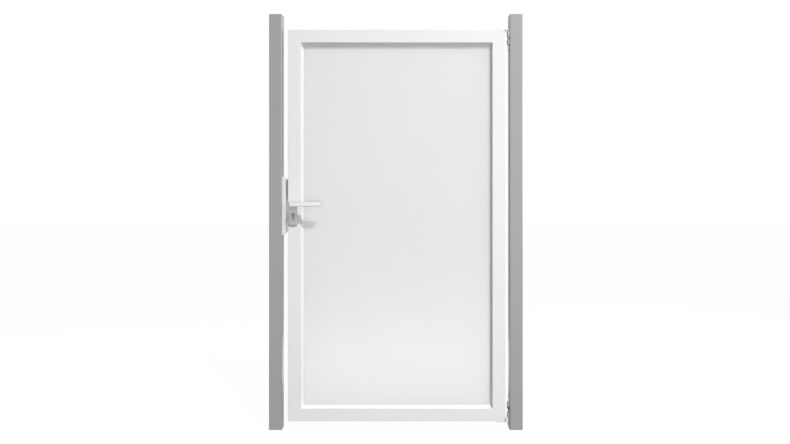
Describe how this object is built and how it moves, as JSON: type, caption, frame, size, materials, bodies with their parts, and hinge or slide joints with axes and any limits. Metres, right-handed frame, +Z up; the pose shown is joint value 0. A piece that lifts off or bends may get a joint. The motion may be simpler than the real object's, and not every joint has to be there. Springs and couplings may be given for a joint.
{
  "type": "glass garden gate",
  "caption": "Single-leaf garden gate: aluminium frame with one satin glass pane between two square posts, with pivot hinges, lever lock and keep.",
  "frame": {"origin": "centre of the hinge post's foot, at ground level", "axes": "+X to the right seen from the front, from the latch post to the hinge post; +Y away from the viewer, into the gate; +Z up"},
  "size_m": [1.167, 0.186, 1.912],
  "materials": {
    "post_grey": "satin powder coat, mid grey",
    "frame_silver": "satin powder coat, very light silver grey",
    "satin_glass": "etched satin glass, milky",
    "block_black": "black plastic",
    "keep_silver": "satin anodised",
    "buffer_rubber": "matt black rubber",
    "hinge_steel": "brushed stainless steel",
    "pin_steel": "turned stainless steel",
    "lock_steel": "brushed stainless steel",
    "fitting_steel": "finely brushed stainless steel"
  },
  "bodies": {
    "posts": {"hinge_post": "post_grey", "latch_post": "post_grey", "hinge_post_cap": "post_grey", "latch_post_cap": "post_grey", "hinge_post_foot": "post_grey", "latch_post_foot": "post_grey", "keep_base": "keep_silver", "keep_body": "keep_silver", "keep_stop": "keep_silver", "stop_buffer": "buffer_rubber", "top_post_hinge": "hinge_steel", "bottom_post_hinge": "hinge_steel", "top_hinge_pin": "pin_steel", "bottom_hinge_pin": "pin_steel", "top_hinge_washer": "pin_steel", "bottom_hinge_washer": "pin_steel"},
    "leaf": {"latch_stile": "frame_silver", "hinge_stile": "frame_silver", "top_rail": "frame_silver", "bottom_rail": "frame_silver", "front_bead_left": "frame_silver", "front_bead_right": "frame_silver", "front_bead_bottom": "frame_silver", "front_bead_top": "frame_silver", "rear_bead_left": "frame_silver", "rear_bead_right": "frame_silver", "rear_bead_bottom": "frame_silver", "rear_bead_top": "frame_silver", "glass_pane": "satin_glass", "setting_blocks": "block_black", "top_leaf_hinge": "hinge_steel", "bottom_leaf_hinge": "hinge_steel", "lock_case": "lock_steel", "forend_plate": "lock_steel", "latch_bolt": "lock_steel", "dead_bolt": "lock_steel", "lock_cylinder": "lock_steel", "front_escutcheon": "fitting_steel", "rear_escutcheon": "fitting_steel"},
    "lever": {"front_lever": "fitting_steel", "rear_lever": "fitting_steel", "spindle": "lock_steel"}
  },
  "joints": [
    {"name": "leaf_swing", "type": "hinge", "parent": "posts", "child": "leaf", "pos_m": [-0.037, -0.03, 0.94], "axis": [0, 0, 1], "range_deg": [0, 110]},
    {"name": "lever_turn", "type": "hinge", "parent": "leaf", "child": "lever", "pos_m": [-1.025, -0.005, 1.037], "axis": [0, 1, 0], "range_deg": [0, 35], "stiffness_Nm_per_rad": 2, "springref_deg": -45.84}
  ]
}
